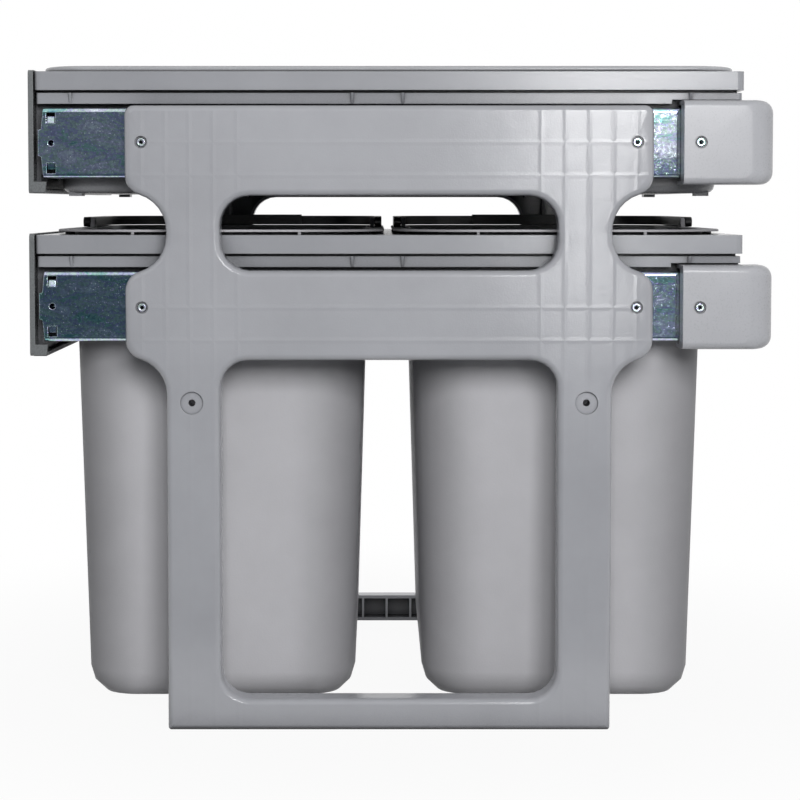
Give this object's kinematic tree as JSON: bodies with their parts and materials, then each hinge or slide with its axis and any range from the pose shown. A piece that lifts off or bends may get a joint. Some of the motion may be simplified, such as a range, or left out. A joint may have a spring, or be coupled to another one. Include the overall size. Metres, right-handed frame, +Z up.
{
  "type": "pull out bin frame",
  "caption": "Pull-out waste unit for a base cabinet: ribbed side frames on ball slides carry a lower carriage with hanging bins and an upper carriage with a tray.",
  "frame": {"origin": "on the cabinet floor, under the middle of the unit's width and length", "axes": "+Z up, -Y towards the cabinet door, X across the unit"},
  "size_m": [0.366, 0.4856, 0.4346],
  "materials": {
    "frame_plastic": "fine-grained grey moulding",
    "carriage_plastic": "fine-grained grey moulding",
    "bin_plastic": "satin grey moulding",
    "tray_plastic": "satin grey moulding",
    "zinc_steel": "bright zinc on rolled sheet",
    "bright_steel": "bright zinc",
    "black_plastic": "black moulding",
    "stop_rubber": "black rubber"
  },
  "bodies": {
    "base": {"right_side_frame": "frame_plastic", "left_side_frame": "frame_plastic", "frame_rivets": "bright_steel", "cap_rivets": "bright_steel", "stop_buffers": "stop_rubber", "lower_right_outer_rail": "zinc_steel", "lower_right_end_cap": "frame_plastic", "lower_left_outer_rail": "zinc_steel", "lower_left_end_cap": "frame_plastic", "upper_right_outer_rail": "zinc_steel", "upper_right_end_cap": "frame_plastic", "upper_left_outer_rail": "zinc_steel", "upper_left_end_cap": "frame_plastic"},
    "lower_pullout": {"lower_carriage": "carriage_plastic", "lower_rail_screws": "bright_steel", "lower_front_plate": "carriage_plastic", "lower_plate_screws": "bright_steel", "lower_right_inner_rail": "zinc_steel", "lower_left_inner_rail": "zinc_steel", "front_bin": "bin_plastic", "rear_bin": "bin_plastic"},
    "lower_middle_members": {"lower_right_middle_rail": "zinc_steel", "lower_left_middle_rail": "zinc_steel"},
    "lower_outer_ball_cages": {"lower_right_outer_cage": "black_plastic", "lower_left_outer_cage": "black_plastic", "lower_outer_balls": "bright_steel"},
    "lower_inner_ball_cages": {"lower_right_inner_cage": "black_plastic", "lower_left_inner_cage": "black_plastic", "lower_inner_balls": "bright_steel"},
    "upper_pullout": {"upper_carriage": "carriage_plastic", "upper_rail_screws": "bright_steel", "upper_front_plate": "carriage_plastic", "upper_plate_screws": "bright_steel", "upper_right_inner_rail": "zinc_steel", "upper_left_inner_rail": "zinc_steel"},
    "upper_middle_members": {"upper_right_middle_rail": "zinc_steel", "upper_left_middle_rail": "zinc_steel"},
    "upper_outer_ball_cages": {"upper_right_outer_cage": "black_plastic", "upper_left_outer_cage": "black_plastic", "upper_outer_balls": "bright_steel"},
    "upper_inner_ball_cages": {"upper_right_inner_cage": "black_plastic", "upper_left_inner_cage": "black_plastic", "upper_inner_balls": "bright_steel"},
    "tray": {"upper_tray": "tray_plastic"},
    "front_handle": {"front_bin_handle": "black_plastic"},
    "rear_handle": {"rear_bin_handle": "black_plastic"}
  },
  "joints": [
    {"name": "lower_slide", "type": "slide", "parent": "base", "child": "lower_pullout", "axis": [0, -1, 0], "range_m": [0, 0.44]},
    {"name": "lower_middle_members_slide", "type": "slide", "parent": "base", "child": "lower_middle_members", "axis": [0, -1, 0], "range_m": [0, 0.22]},
    {"name": "lower_outer_ball_cages_slide", "type": "slide", "parent": "base", "child": "lower_outer_ball_cages", "axis": [0, -1, 0], "range_m": [0, 0.11]},
    {"name": "lower_inner_ball_cages_slide", "type": "slide", "parent": "base", "child": "lower_inner_ball_cages", "axis": [0, -1, 0], "range_m": [0, 0.33]},
    {"name": "upper_slide", "type": "slide", "parent": "base", "child": "upper_pullout", "axis": [0, -1, 0], "range_m": [0, 0.44]},
    {"name": "upper_middle_members_slide", "type": "slide", "parent": "base", "child": "upper_middle_members", "axis": [0, -1, 0], "range_m": [0, 0.22]},
    {"name": "upper_outer_ball_cages_slide", "type": "slide", "parent": "base", "child": "upper_outer_ball_cages", "axis": [0, -1, 0], "range_m": [0, 0.11]},
    {"name": "upper_inner_ball_cages_slide", "type": "slide", "parent": "base", "child": "upper_inner_ball_cages", "axis": [0, -1, 0], "range_m": [0, 0.33]},
    {"name": "tray_lift", "type": "slide", "parent": "upper_pullout", "child": "tray", "axis": [0, 0, 1], "range_m": [0, 0.095]},
    {"name": "front_handle_hinge", "type": "hinge", "parent": "lower_pullout", "child": "front_handle", "pos_m": [0, -0.12133, 0.3306], "axis": [0, 1, 0], "range_deg": [0, 5]},
    {"name": "rear_handle_hinge", "type": "hinge", "parent": "lower_pullout", "child": "rear_handle", "pos_m": [0, 0.10673, 0.3306], "axis": [0, 1, 0], "range_deg": [0, 5]}
  ],
  "couplings": [
    {"joint": "lower_middle_members_slide", "follows": "lower_slide", "ratio": 0.5},
    {"joint": "lower_outer_ball_cages_slide", "follows": "lower_slide", "ratio": 0.25},
    {"joint": "lower_inner_ball_cages_slide", "follows": "lower_slide", "ratio": 0.75},
    {"joint": "upper_middle_members_slide", "follows": "upper_slide", "ratio": 0.5},
    {"joint": "upper_outer_ball_cages_slide", "follows": "upper_slide", "ratio": 0.25},
    {"joint": "upper_inner_ball_cages_slide", "follows": "upper_slide", "ratio": 0.75}
  ]
}
